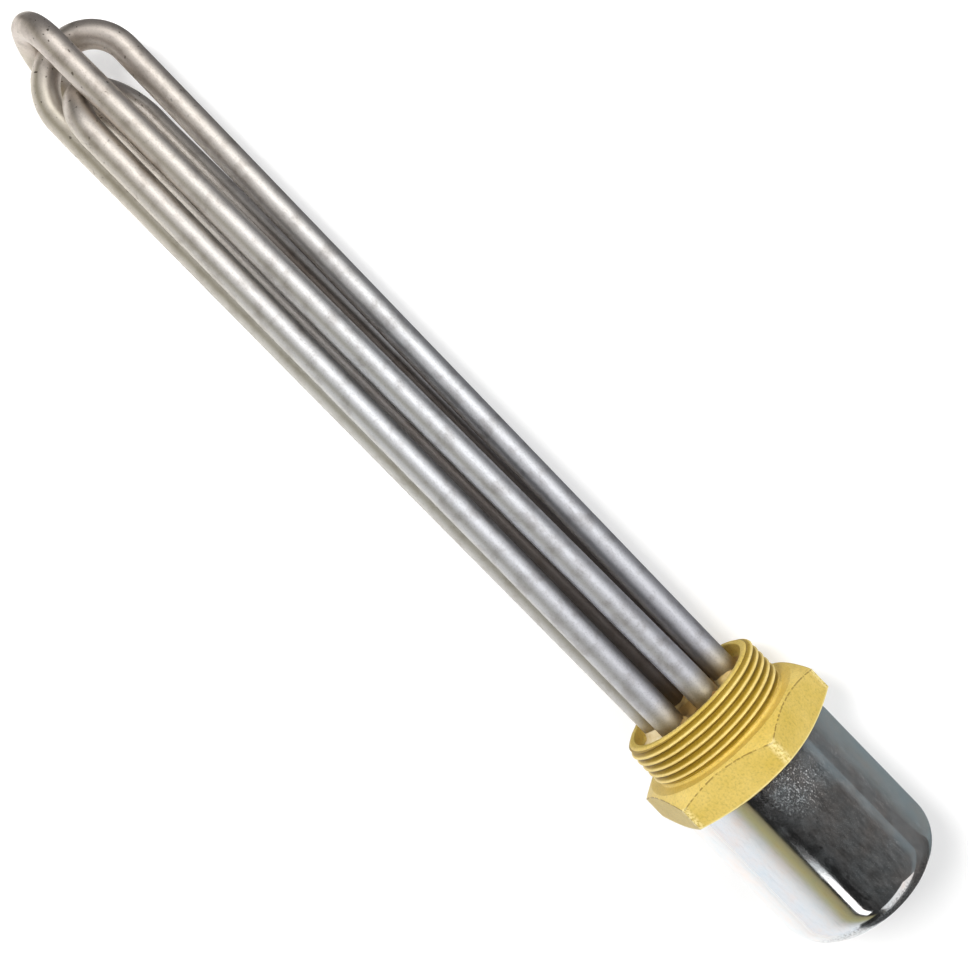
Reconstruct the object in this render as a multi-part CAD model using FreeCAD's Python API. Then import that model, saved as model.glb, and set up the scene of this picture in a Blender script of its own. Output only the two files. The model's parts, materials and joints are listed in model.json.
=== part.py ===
import FreeCAD, Part
import os
from math import acos, cos, radians, sin, sqrt, tan

# Screw plug immersion heater: three U-bent heating tubes brazed into a hexagonal brass plug,
# with the terminals in a bowl behind the plug under a deep-drawn metal cap.
# The heater's axis is X, and +X runs from the plug to the tips of the tubes.
# The origin is on the axis, in the plug's sealing face. Millimetres.

# Screw plug: the thread is a 1 1/2 inch parallel pipe thread, left plain here at its full diameter
thread_radius = 47.803 / 2
thread_chamfer = 1.3
rim_flat = 1.1
relief_radius = 22.2
relief_width = 1.2
relief_recess = 0.4
relief_recess_radius = 24.2
spigot_length = 13.9
mouth_radius = 20.5
mouth_edge = 0.3
mouth_depth = 3.9
across_flats = 55.0
hex_thickness = 11.9
front_chamfer_radius = 26.6
front_chamfer_depth = 3.2
rear_chamfer_radius = 26.0
rear_chamfer_depth = 2.0
collar_length = 8.0
collar_bore_radius = 22.3
collar_edge = 0.6
bowl_radius = 18.9
bowl_step_depth = 0.5
bowl_slope_length = 5.5
web_thickness = 6.0
boss_radius = 4.8
boss_proud = 2.0
stud_hole_depth = 9.0

# Heating tubes: each hairpin joins two opposite places on one circle, and the three are nested
sheath_radius = 4.25
sheath_wall = 0.7
tube_circle_radius = 13.0
bend_radius = 14.3
ease_radius = 150.0
ease_clearance = 6.0
tube_inside = 3.0
immersed_length = 290.0
middle_step = 9.6
short_step = 24.8
# the place of a hairpin's first terminal (the other is opposite), the turn of its bend round the axis
# (degrees) and the drift of its bend from the axis (Y, Z), as bent by hand
hairpin_set = {
    "long": {"place": 2, "turn": -0.6, "drift": (4.5, 1.2)},
    "middle": {"place": 0, "turn": 7.9, "drift": (1.0, 0.2)},
    "short": {"place": 1, "turn": 13.3, "drift": (3.0, 0.9)},
}
cold_length = 45.0
packing_gap = 0.05
braze_gap = 0.05
braze_leg = 1.5

# Terminals: threaded pins through insulating beads in a poured seal, with nuts, washers and links
terminal_turn = 1.7
pin_radius = 2.0
pin_gap = 0.05
pin_dome = 0.8
seal_depth = 6.0
bead_radius = 4.2
bead_proud = 3.0
bead_edge = 0.5
bead_plug_length = 2.0
seat_nut_height = 2.2
nut_flats = 7.0
nut_height = 3.2
nut_turn_step = 11.0
washer_radius = 4.5
washer_thickness = 0.8
washer_gap = 0.15
pin_beyond_nut = 2.2
link_width = 8.0
link_thickness = 0.8
link_square_end = 4.1
link_round_end = 11.3
link_slot_length = 14.0
link_slot_width = 4.4
link_slot_shift = 0.8
joggle_run = 1.2
joggle_clearance = 0.1

# Cap: a deep-drawn cup over the plug's collar, held by a nut on the centre stud
cap_radius = 26.0
cap_wall = 1.0
cap_corner = 10.0
cap_length = 52.2
cap_gap = 0.3
stud_radius = 2.5
stud_gap = 0.2
stud_thread_gap = 0.05
stud_hole_spare = 1.0
stud_dome = 1.0
stud_beyond_nut = 1.4
cap_washer_radius = 5.0
cap_washer_thickness = 1.0
cap_nut_flats = 8.0
cap_nut_height = 4.0
cap_nut_turn = 8.0
inlet_hole_radius = 5.4
inlet_from_end = 24.0
inlet_angle = -45.0
grommet_bore_radius = 4.0
grommet_flange_radius = 7.2
grommet_flange = 1.4
grommet_gap = 0.03

# How far a cut runs past the face that it opens, and a joined piece into its neighbour
over = 1.0

AXIS = FreeCAD.Vector(1, 0, 0)
ORIGIN = FreeCAD.Vector(0, 0, 0)

# Places along the axis that several pieces share
web_front = spigot_length - mouth_depth
web_back = web_front - web_thickness
seal_back = web_back - seal_depth
bowl_slope_start = seal_back + bowl_step_depth
sheath_end = web_back - tube_inside
bead_back = seal_back - bead_proud
seat_nut_back = bead_back - seat_nut_height
collar_end = -hex_thickness - collar_length
collar_radius = cap_radius - cap_wall - cap_gap
cap_end = -hex_thickness - cap_length
bend_tops = {
    "long": immersed_length - sheath_radius,
    "middle": immersed_length - sheath_radius - middle_step,
    "short": immersed_length - sheath_radius - short_step,
}
terminal_angles = [terminal_turn + 60 * k for k in range(6)]
pin_end = seat_nut_back - 2 * link_thickness - washer_thickness - nut_height - pin_beyond_nut


def point(x, y=0.0, z=0.0):
    return FreeCAD.Vector(x, y, z)


def on_circle(x, radius, degrees):
    """A point at a distance from the axis, its angle counted from +Y towards +Z."""
    return point(x, radius * cos(radians(degrees)), radius * sin(radians(degrees)))


def turned(outline):
    """A solid of revolution round the X axis from a closed outline of (x, radius) points."""
    wire = Part.makePolygon([point(x, r) for x, r in outline] + [point(*outline[0])])
    return Part.Face(wire).revolve(ORIGIN, AXIS, 360)


def cylinder(radius, x_low, x_high, centre=ORIGIN):
    return Part.makeCylinder(radius, x_high - x_low, point(x_low, centre.y, centre.z), AXIS)


def ring(outer, inner, x_low, x_high, centre=ORIGIN):
    return cylinder(outer, x_low, x_high, centre).cut(cylinder(inner, x_low, x_high, centre))


def hex_prism(flats, x_low, x_high, centre=ORIGIN, start=0.0):
    """A hexagonal prism along X with its first corner at an angle from +Y."""
    corner = flats / sqrt(3)
    places = [on_circle(x_low, corner, start + 60 * k) + centre for k in range(7)]
    return Part.Face(Part.makePolygon(places)).extrude(AXIS * (x_high - x_low))


def terminal_places(x=0.0):
    return [on_circle(x, tube_circle_radius, angle) for angle in terminal_angles]


# Screw plug


def screw_plug():
    """The turned brass body: hexagon with coned corners, threaded spigot, collar, bowl and mouth."""
    corner = across_flats / sqrt(3)
    front_slope = front_chamfer_depth / (corner - front_chamfer_radius)
    rear_slope = rear_chamfer_depth / (corner - rear_chamfer_radius)
    chamfers = turned([
        (0, 0),
        (0, front_chamfer_radius),
        (-front_slope * (corner + over - front_chamfer_radius), corner + over),
        (rear_slope * (corner + over - rear_chamfer_radius) - hex_thickness, corner + over),
        (-hex_thickness, rear_chamfer_radius),
        (-hex_thickness, 0),
    ])
    nut_part = hex_prism(across_flats, -hex_thickness, 0).common(chamfers)
    spigot = turned([
        (-over, 0),
        (-over, relief_radius),
        (relief_width, relief_radius),
        (relief_width + thread_radius - relief_radius, thread_radius),
        (spigot_length - thread_chamfer, thread_radius),
        (spigot_length, mouth_radius + mouth_edge + rim_flat),
        (spigot_length, 0),
    ])
    mouth = turned([
        (web_front, 0),
        (web_front, mouth_radius),
        (spigot_length - mouth_edge, mouth_radius),
        (spigot_length, mouth_radius + mouth_edge),
        (spigot_length, 0),
    ])
    collar = turned([
        (collar_end, 0),
        (collar_end, collar_radius - collar_edge),
        (collar_end + collar_edge, collar_radius),
        (over - hex_thickness, collar_radius),
        (over - hex_thickness, 0),
    ])
    bowl = turned([
        (web_back, 0),
        (web_back, bowl_radius),
        (bowl_slope_start, bowl_radius),
        (bowl_slope_start - bowl_slope_length, collar_bore_radius),
        (collar_end, collar_bore_radius),
        (collar_end, 0),
    ])
    boss = cylinder(boss_radius, seal_back - boss_proud, web_back + over)
    recess = ring(relief_recess_radius, relief_radius, -relief_recess, relief_width)
    body = nut_part.cut(recess).fuse([spigot, collar]).cut(bowl).fuse(boss).cut(mouth)
    stud_hole_end = seal_back - boss_proud + stud_hole_depth
    body = body.cut(cylinder(stud_radius + stud_thread_gap, collar_end - over, stud_hole_end))
    for place in terminal_places():
        body = body.cut(cylinder(sheath_radius + braze_gap, collar_end, spigot_length, place))
    return body.removeSplitter()


def braze_fillets():
    """The braze at the foot of each tube, a small sloping fillet on the floor of the mouth."""
    inner = sheath_radius + braze_gap
    outline = [(web_front, inner), (web_front, inner + braze_leg), (web_front + braze_leg, inner)]
    fillets = []
    for place in terminal_places():
        fillet = turned(outline)
        fillet.translate(place)
        fillets.append(fillet)
    return Part.makeCompound(fillets)


# Heating tubes


def rounded_corner(before, corner, after, radius):
    """The tangent arc that replaces a corner: its two ends and its middle."""
    back = (before - corner).normalize()
    ahead = (after - corner).normalize()
    half = acos(max(-1.0, min(1.0, back.dot(ahead)))) / 2
    middle_way = (back + ahead).normalize()
    reach = radius / tan(half)
    centre = corner + middle_way * (radius / sin(half))
    return corner + back * reach, centre - middle_way * radius, corner + ahead * reach


def leg_edges(foot, top, x_from, x_to):
    """One leg of a hairpin between two places along the axis.

    It is straight in the plug, leans slightly, and is straight again just before the bend.
    """
    lean_start = point(spigot_length + ease_clearance, foot.y, foot.z)
    lean_end = point(top.x - ease_clearance, top.y, top.z)
    lean = (lean_end - lean_start) * (1 / (lean_end.x - lean_start.x))
    start = lean_start + lean * (x_from - lean_start.x)
    end = lean_start + lean * (x_to - lean_start.x)
    before, after = [], []
    if x_from < lean_start.x:
        base = point(x_from, foot.y, foot.z)
        leave, middle, start = rounded_corner(base, lean_start, lean_end, ease_radius)
        before = [Part.makeLine(base, leave), Part.Arc(leave, middle, start).toShape()]
    if x_to > lean_end.x:
        end, middle, arrive = rounded_corner(lean_start, lean_end, top, ease_radius)
        after = [Part.Arc(end, middle, arrive).toShape(), Part.makeLine(arrive, top)]
    return before + [Part.makeLine(start, end)] + after


def leg_ends(name):
    """The foot in the plug and the start of the bend, for both legs of a hairpin."""
    shape = hairpin_set[name]
    drift = point(0, *shape["drift"])
    bend_x = bend_tops[name] - bend_radius
    ends = []
    for angle in (terminal_angles[shape["place"]], terminal_angles[shape["place"] + 3]):
        foot = on_circle(0, tube_circle_radius, angle)
        top = on_circle(bend_x, bend_radius, angle + shape["turn"]) + drift
        ends.append((foot, top))
    return ends


def hairpin_path(name, x_from):
    """The centre line of a hairpin, both legs starting at x_from."""
    (foot_a, top_a), (foot_b, top_b) = leg_ends(name)
    crown = (top_a + top_b) * 0.5 + AXIS * bend_radius
    legs = leg_edges(foot_a, top_a, x_from, top_a.x) + leg_edges(foot_b, top_b, x_from, top_b.x)
    bend = Part.Arc(top_a, crown, top_b).toShape()
    return Part.Wire(Part.__sortEdges__(legs + [bend]))


def tube_along(path, radius):
    """A round rod along a path of straight runs and tangent arcs."""
    start = path.OrderedVertexes[0].Point
    first = path.OrderedEdges[0]
    ahead = first.tangentAt(first.FirstParameter)
    if (first.valueAt(first.FirstParameter) - start).Length > 1e-6:
        ahead = first.tangentAt(first.LastParameter) * -1
    section = Part.Wire(Part.makeCircle(radius, start, ahead))
    return path.makePipeShell([section], True, False)


def sheath(name):
    path = hairpin_path(name, sheath_end)
    return tube_along(path, sheath_radius).cut(tube_along(path, sheath_radius - sheath_wall))


def heating_coil(name):
    """The resistance coil on its magnesia core, drawn as a rod, from one cold pin to the other."""
    return tube_along(hairpin_path(name, cold_length), pin_radius)


def magnesia_fill(name):
    """The pressed magnesia between the sheath and the pins and coil that run along its middle."""
    path = hairpin_path(name, sheath_end + bead_plug_length)
    sleeve = tube_along(path, sheath_radius - sheath_wall - packing_gap)
    return sleeve.cut(tube_along(path, pin_radius + pin_gap))


# Terminals


def domed_rod(radius, dome, x_end, x_start):
    """A rod along X whose end at x_end is a shallow dome."""
    ball = (radius ** 2 + dome ** 2) / (2 * dome)
    middle = point(x_end + dome / 2, sqrt(ball ** 2 - (ball - dome / 2) ** 2))
    edges = [
        Part.Arc(point(x_end), middle, point(x_end + dome, radius)).toShape(),
        Part.makeLine(point(x_end + dome, radius), point(x_start, radius)),
        Part.makeLine(point(x_start, radius), point(x_start)),
        Part.makeLine(point(x_start), point(x_end)),
    ]
    return Part.Face(Part.Wire(edges)).revolve(ORIGIN, AXIS, 360)


def terminal_pin(index):
    """The cold pin of one leg, which follows its tube inside and ends in a threaded rod outside."""
    name = next(n for n in hairpin_set if hairpin_set[n]["place"] == index % 3)
    foot, top = leg_ends(name)[index // 3]
    leg = Part.Wire(leg_edges(foot, top, sheath_end, cold_length))
    outside = domed_rod(pin_radius, pin_dome, pin_end, sheath_end)
    outside.translate(foot)
    return tube_along(leg, pin_radius).fuse(outside).removeSplitter()


def insulating_bead(angle):
    """A bead on the end of the tube, with a short plug that enters the tube."""
    inside = sheath_radius - sheath_wall - packing_gap
    bore = pin_radius + pin_gap
    bead = turned([
        (bead_back, bore),
        (bead_back, bead_radius - bead_edge),
        (bead_back + bead_edge, bead_radius),
        (sheath_end, bead_radius),
        (sheath_end, inside),
        (sheath_end + bead_plug_length, inside),
        (sheath_end + bead_plug_length, bore),
    ])
    bead.translate(on_circle(0, tube_circle_radius, angle))
    return bead


def poured_seal():
    """The hardened compound on the bowl's floor, round the tube ends, the beads and the boss."""
    seal = cylinder(bowl_radius - packing_gap, seal_back, web_back - packing_gap)
    seal = seal.cut(cylinder(boss_radius + packing_gap, seal_back - over, web_back + over))
    for place in terminal_places():
        seal = seal.cut(cylinder(sheath_radius + packing_gap, seal_back - over, web_back + over, place))
    return seal


def nut(flats, bore, x_low, x_high, place, start):
    """A hexagonal nut with its corners turned off on the side away from the plug."""
    corner = flats / sqrt(3)
    cut_back = (corner - flats / 2) * tan(radians(30))
    barrel = turned([(x_low, 0), (x_low, flats / 2), (x_low + cut_back, corner), (x_high, corner), (x_high, 0)])
    solid = hex_prism(flats, x_low, x_high, start=start).common(barrel)
    solid = solid.cut(cylinder(bore, x_low, x_high))
    solid.translate(place)
    return solid


# The links under each terminal's washer: the neutral point joins three neighbours
links_below = [1, 2, 1, 0, 0, 0]


def washer_back(index):
    return seat_nut_back - links_below[index] * link_thickness - washer_thickness


def seat_nuts():
    """The thin nuts that hold the beads and carry the links and washers."""
    nuts = []
    for place in terminal_places():
        prism = hex_prism(nut_flats, seat_nut_back, bead_back, place)
        nuts.append(prism.cut(cylinder(pin_radius + pin_gap, seat_nut_back, bead_back, place)))
    return Part.makeCompound(nuts)


def terminal_washers():
    washers = []
    for index, place in enumerate(terminal_places()):
        back = washer_back(index)
        washers.append(ring(washer_radius, pin_radius + washer_gap, back, back + washer_thickness, place))
    return Part.makeCompound(washers)


def terminal_nuts():
    """The nuts on top, each stopped at another turn."""
    nuts = []
    for index, place in enumerate(terminal_places()):
        back = washer_back(index)
        turn = nut_turn_step * index
        nuts.append(nut(nut_flats, pin_radius + pin_gap, back - nut_height, back, place, turn))
    return Part.makeCompound(nuts)


def link_strap(from_index, to_index, lift):
    """A flat link with a hole at its square end and a slot at its round end.

    It lies on the seat nut of its first terminal. With a lift it is joggled, so that it lies
    on top of the other link at the second terminal.
    """
    start = terminal_places()[from_index]
    end = terminal_places()[to_index]
    pitch = (end - start).Length
    tip = pitch + link_round_end
    half = link_width / 2
    # side view, u along the link and v up from the seat nut: the joggle ends before the other link's edge
    turn = radians(abs(terminal_angles[to_index] - terminal_angles[from_index]))
    rise_end = pitch - half * (1 + cos(turn)) / sin(turn) - joggle_clearance
    low = [(-link_square_end, 0), (rise_end - joggle_run, 0), (rise_end, lift), (tip, lift)]
    if lift == 0:
        low = [low[0], low[-1]]
    high = [(u, v + link_thickness) for u, v in reversed(low)]
    side = Part.makePolygon([point(u, -half, v) for u, v in low + high + low[:1]])
    strip = Part.Face(side).extrude(point(0, link_width, 0))
    # plan view: square end and round end
    outline = Part.Wire([
        Part.makeLine(point(tip - half, -half), point(-link_square_end, -half)),
        Part.makeLine(point(-link_square_end, -half), point(-link_square_end, half)),
        Part.makeLine(point(-link_square_end, half), point(tip - half, half)),
        Part.Arc(point(tip - half, half), point(tip), point(tip - half, -half)).toShape(),
    ])
    tall = lift + link_thickness + over
    deep = tall + over
    link = strip.common(Part.Face(outline).extrude(point(0, 0, tall)))
    link = link.cut(Part.makeCylinder(pin_radius + washer_gap, deep, point(0, 0, -over)))
    slot_half = link_slot_width / 2
    slot_run = link_slot_length - link_slot_width
    slot_start = pitch + link_slot_shift - link_slot_length / 2 + slot_half
    slot = Part.makeBox(slot_run, link_slot_width, deep, point(slot_start, -slot_half, -over))
    for u in (slot_start, slot_start + slot_run):
        slot = slot.fuse(Part.makeCylinder(slot_half, deep, point(u, 0, -over)))
    link = link.cut(slot)
    # u runs from the first terminal to the second, and v points away from the plug
    along = (end - start).normalize()
    up = point(-1)
    across = up.cross(along)
    link.Placement = FreeCAD.Placement(FreeCAD.Matrix(
        along.x, across.x, up.x, seat_nut_back,
        along.y, across.y, up.y, start.y,
        along.z, across.z, up.z, start.z,
        0, 0, 0, 1,
    ))
    return link


# Cap and what holds it


def cap_shell():
    """A drawn cup: straight wall, large rounded corner, flat end with a hole for the stud."""
    def cup(radius, corner, end, start):
        bend_mid = corner * (1 - 1 / sqrt(2))
        edges = [
            Part.makeLine(point(start), point(start, radius)),
            Part.makeLine(point(start, radius), point(end + corner, radius)),
            Part.Arc(point(end + corner, radius), point(end + bend_mid, radius - bend_mid),
                     point(end, radius - corner)).toShape(),
            Part.makeLine(point(end, radius - corner), point(end)),
            Part.makeLine(point(end), point(start)),
        ]
        return Part.Face(Part.Wire(edges)).revolve(ORIGIN, AXIS, 360)

    outside = cup(cap_radius, cap_corner, cap_end, -hex_thickness)
    inside = cup(cap_radius - cap_wall, cap_corner - cap_wall, cap_end + cap_wall, over - hex_thickness)
    shell = outside.cut(inside)
    shell = shell.cut(cylinder(stud_radius + stud_gap, cap_end - over, cap_end + cap_wall + over))
    return shell.cut(inlet_cylinder(inlet_hole_radius, cap_radius / 2, cap_radius + over))


def inlet_cylinder(radius, low, high):
    """A cylinder on the cable inlet's axis, between two distances from the heater's axis."""
    x = cap_end + inlet_from_end
    ahead = on_circle(0, 1, inlet_angle)
    return Part.makeCylinder(radius, high - low, on_circle(x, low, inlet_angle), ahead)


def cable_grommet():
    """A rubber ring in the cap's wall, with a flange that follows the wall on both sides."""
    inner_face = cap_radius - cap_wall - grommet_flange
    outer_face = cap_radius + grommet_flange
    body = inlet_cylinder(grommet_flange_radius, inner_face, outer_face)
    x_low, x_high = cap_end + cap_corner, -hex_thickness
    wall = ring(cap_radius + grommet_gap, cap_radius - cap_wall - grommet_gap, x_low, x_high)
    neck = inlet_cylinder(inlet_hole_radius - grommet_gap, inner_face, outer_face)
    body = body.cut(wall).fuse(neck)
    return body.cut(inlet_cylinder(grommet_bore_radius, 0, outer_face + over)).removeSplitter()


def centre_stud():
    thread_end = seal_back - boss_proud + stud_hole_depth - stud_hole_spare
    end = cap_end - cap_washer_thickness - cap_nut_height - stud_beyond_nut
    return domed_rod(stud_radius, stud_dome, end, thread_end)


def cap_washer():
    return ring(cap_washer_radius, stud_radius + stud_gap, cap_end - cap_washer_thickness, cap_end)


def cap_nut():
    face = cap_end - cap_washer_thickness
    bore = stud_radius + stud_thread_gap
    return nut(cap_nut_flats, bore, face - cap_nut_height, face, ORIGIN, cap_nut_turn)


pieces = {"screw_plug": screw_plug(), "braze_fillets": braze_fillets()}
for name in hairpin_set:
    pieces["sheath_" + name] = sheath(name)
    pieces["magnesia_" + name] = magnesia_fill(name)
    pieces["heating_coil_" + name] = heating_coil(name)
for index, angle in enumerate(terminal_angles):
    pieces[f"terminal_pin_{index + 1}"] = terminal_pin(index)
    pieces[f"insulating_bead_{index + 1}"] = insulating_bead(angle)
pieces["poured_seal"] = poured_seal()
pieces["terminal_seat_nuts"] = seat_nuts()
pieces["terminal_washers"] = terminal_washers()
pieces["terminal_nuts"] = terminal_nuts()
pieces["link_strap_lower"] = link_strap(2, 1, 0)
pieces["link_strap_upper"] = link_strap(0, 1, link_thickness)
pieces["centre_stud"] = centre_stud()
pieces["terminal_cap"] = cap_shell()
pieces["cap_washer"] = cap_washer()
pieces["cap_nut"] = cap_nut()
pieces["cable_grommet"] = cable_grommet()

os.makedirs("parts", exist_ok=True)
for name, shape in pieces.items():
    shape.exportStep(f"parts/{name}.step")
    print(name, "solids", len(shape.Solids), "volume", round(shape.Volume, 2), "valid", shape.isValid())
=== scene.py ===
# %% [markdown]
# # A screw plug immersion heater, finished and lit
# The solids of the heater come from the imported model, in metres, with X along the heater's axis
# and the origin in the plug's sealing face. They are never moved. This lesson adds what they leave
# out: the threads, the smooth bends of the tubes, the lumps of braze, the polish of the cap, and a
# finish for every surface. Each new piece is worked out with arrays of numbers, as a surface over
# two parameters, and then handed to Blender as one mesh.

# %% The frame
import json
from math import radians, sqrt

import bpy
import numpy as np
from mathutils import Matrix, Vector


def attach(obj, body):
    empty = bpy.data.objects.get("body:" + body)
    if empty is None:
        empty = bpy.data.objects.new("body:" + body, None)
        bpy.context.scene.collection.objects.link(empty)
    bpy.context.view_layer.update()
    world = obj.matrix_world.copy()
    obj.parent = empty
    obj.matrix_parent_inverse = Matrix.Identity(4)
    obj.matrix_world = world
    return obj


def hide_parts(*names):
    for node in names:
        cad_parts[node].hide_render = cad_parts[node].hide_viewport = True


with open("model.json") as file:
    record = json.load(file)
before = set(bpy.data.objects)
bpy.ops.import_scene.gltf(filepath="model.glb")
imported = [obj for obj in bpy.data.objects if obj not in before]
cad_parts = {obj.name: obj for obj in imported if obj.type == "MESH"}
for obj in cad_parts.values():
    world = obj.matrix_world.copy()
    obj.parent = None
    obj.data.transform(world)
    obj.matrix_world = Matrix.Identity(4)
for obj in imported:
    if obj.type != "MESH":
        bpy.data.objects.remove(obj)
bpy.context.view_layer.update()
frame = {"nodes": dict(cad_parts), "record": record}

nodes = frame["nodes"]

# %% [markdown]
# ## The camera
# The photograph looks almost straight down on the heater. The camera was found by matching about
# sixty edges of the heater with their places in the picture. Here it is a place, a turn, a lens
# and a small shift, because the photograph is cut from a larger one.

# %% Camera
camera_place = (0.111462, -0.103724, 0.350854)
camera_turn = (radians(-12.372), radians(13.229), radians(-135.530))
camera_lens = 46.665
camera_shift = (0.0669, -0.0215)

camera_data = bpy.data.cameras.new("camera")
camera_data.sensor_fit = "HORIZONTAL"
camera_data.sensor_width = 36.0
camera_data.lens = camera_lens
camera_data.shift_x, camera_data.shift_y = camera_shift
camera_data.clip_start, camera_data.clip_end = 0.01, 20.0
camera = bpy.data.objects.new("camera", camera_data)
camera.location = camera_place
camera.rotation_euler = camera_turn
bpy.context.collection.objects.link(camera)
bpy.context.scene.camera = camera
print("camera", [round(v, 4) for v in camera_place], "lens", camera_lens, "mm")

# %% [markdown]
# ## Helpers for surfaces
# Nearly every new piece is a grid of points: rows along a profile or a path, columns around it.
# The faces of such a grid are always the same pattern of quads, so one helper makes them. Where
# the first or last row shrinks to the axis, a fan of triangles closes it. The volume that a piece
# encloses is printed, because it comes out negative if the faces point inwards.

# %% Surface helpers
MM = 0.001
no_triangles = np.empty((0, 3), int)


def grid_faces(rows, columns, close_rows=False):
    """Quads of a grid whose columns run round in a loop, as an array of four point numbers each.

    A point's number is its row times the columns, plus its column. With close_rows the last row
    meets the first.
    """
    i = np.arange(rows if close_rows else rows - 1)[:, None]
    j = np.arange(columns)[None, :]
    below, right = (i + 1) % rows, (j + 1) % columns
    here, under = i * columns, below * columns
    return np.stack([here + j, under + j, under + right, here + right], -1).reshape(-1, 4)


def fan_faces(pole, ring, outward):
    """Triangles from one pole point to a ring of points, turned to face outward."""
    following = np.roll(ring, -1)
    pair = (ring, following) if outward else (following, ring)
    return np.stack([np.full(len(ring), pole), *pair], -1)


def enclosed(points, quads, triangles):
    """The volume inside closed faces, in cubic cm: a sum of small pyramids from the origin."""
    corners = np.concatenate([quads[:, [0, 1, 2]], quads[:, [0, 2, 3]], triangles])
    a, b, c = (points[corners[:, k]] for k in range(3))
    return np.einsum("ij,ij->i", a, np.cross(b, c)).sum() / 6 * MM


def new_piece(name, points, quads, triangles=no_triangles, smooth_below=None, shades=None):
    """A mesh object from points in millimetres, quads and triangles, at the origin.

    shades are named numbers, one for each point, that a material can read.
    """
    points = np.asarray(points, float)
    mesh = bpy.data.meshes.new(name)
    starts = np.append(np.arange(len(quads)) * 4, quads.size + np.arange(len(triangles)) * 3)
    corners = np.append(quads, triangles)
    mesh.vertices.add(len(points))
    mesh.vertices.foreach_set("co", (points * MM).astype(np.float32).ravel())
    mesh.loops.add(len(corners))
    mesh.loops.foreach_set("vertex_index", corners.astype(np.int32))
    mesh.polygons.add(len(starts))
    mesh.polygons.foreach_set("loop_start", starts.astype(np.int32))
    mesh.polygons.foreach_set("use_smooth", np.ones(len(starts), bool))
    mesh.update(calc_edges=True)
    for shade, values in (shades or {}).items():
        layer = mesh.attributes.new(shade, "FLOAT", "POINT")
        layer.data.foreach_set("value", np.asarray(values, np.float32).ravel())
    if smooth_below is not None:
        mesh.set_sharp_from_angle(angle=radians(smooth_below))
    mesh.validate()
    piece = bpy.data.objects.new(name, mesh)
    bpy.context.collection.objects.link(piece)
    volume = f"{enclosed(points, quads, triangles):.3f} cubic cm" if len(starts) > 1 else "no inside"
    print(name, "has", len(points), "points,", len(starts), "faces and", volume)
    return piece


def unit(vectors):
    """Vectors brought to the length 1."""
    return vectors / np.linalg.norm(vectors, axis=-1, keepdims=True)


def round_axis(x, radius, angle):
    """Points at a distance from the X axis, the angle in degrees from +Y towards +Z."""
    turn = np.radians(angle)
    return np.stack(np.broadcast_arrays(x, radius * np.cos(turn), radius * np.sin(turn)), -1)


def capped_rows(name, rings, start_pole, end_pole, outward=True, **more):
    """A piece of rings of points, rows by columns, closed by a fan to a pole at each end."""
    rows, columns = rings.shape[:2]
    points = np.concatenate([rings.reshape(-1, 3), [start_pole, end_pole]])
    first, last = np.arange(columns), np.arange(columns) + (rows - 1) * columns
    pole = rows * columns
    fans = np.concatenate([fan_faces(pole, first, outward), fan_faces(pole + 1, last, not outward)])
    quads = grid_faces(rows, columns)
    return new_piece(name, points, quads if outward else quads[:, ::-1], fans, **more)


def eased(corner_points, radii, spacing):
    """A profile through corner points, each rounded by a quadratic curve, as evenly spaced points.

    At a corner P with radius e the curve runs from e before P to e past P, pulled towards P.
    Straight runs between are divided into steps of about the given spacing.
    """
    corner_points = np.asarray(corner_points, float)
    pieces = [corner_points[:1]]
    for before, corner, after, ease in zip(corner_points, corner_points[1:], corner_points[2:], radii):
        step_in, step_out = before - corner, after - corner
        start = corner + step_in * min(0.45, ease / np.linalg.norm(step_in))
        end = corner + step_out * min(0.45, ease / np.linalg.norm(step_out))
        t = np.linspace(0, 1, 5)[:, None]
        pieces.append((1 - t) ** 2 * start + 2 * t * (1 - t) * corner + t ** 2 * end)
    pieces.append(corner_points[-1:])
    rough = np.concatenate(pieces)
    filled = [rough[:1]]
    for a, b in zip(rough, rough[1:]):
        steps = max(1, int(np.ceil(np.linalg.norm(b - a) / spacing)))
        t = np.arange(1, steps + 1)[:, None] / steps
        filled.append(a + (b - a) * t)
    return np.concatenate(filled)


def cut_holes(piece, cutters):
    """Cuts holes by a Boolean modifier, keeps its result as the mesh and drops the cutters."""
    for cutter in cutters:
        cut = piece.modifiers.new("hole", "BOOLEAN")
        cut.operation, cut.solver, cut.object = "DIFFERENCE", "EXACT", cutter
    ready = piece.evaluated_get(bpy.context.evaluated_depsgraph_get())
    old = piece.data
    mesh = bpy.data.meshes.new_from_object(ready)
    piece.modifiers.clear()
    piece.data = mesh
    mesh.name = piece.name
    bpy.data.meshes.remove(old)
    for cutter in cutters:
        bpy.data.meshes.remove(cutter.data)
    print(piece.name, "has", len(mesh.polygons), "faces with its holes cut")


def round_cutter(name, start, end, radius, columns=48):
    """A cylinder between two points."""
    ahead = unit(end - start)
    first = unit(np.cross(ahead, [0.3, 0.9, 0.2]))
    second = np.cross(ahead, first)
    turn = np.linspace(0, 2 * np.pi, columns, endpoint=False)[:, None]
    ring = radius * (np.cos(turn) * first + np.sin(turn) * second)
    return capped_rows(name, np.stack([start + ring, end + ring]), start, end, outward=False)


# %% [markdown]
# ## The screw plug
# The plug is one piece of brass: turned, threaded, and milled to a hexagon. All of it is a radius
# for each place along the profile and each angle round the axis. The hexagon is a radius that
# grows towards its corners, and its chamfers are cones that end at that radius. The thread is a
# radius that rises and falls with a slanted phase, which makes it a true screw line. A lathe
# modifier could not give the slant, so the whole plug is one grid.

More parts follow.
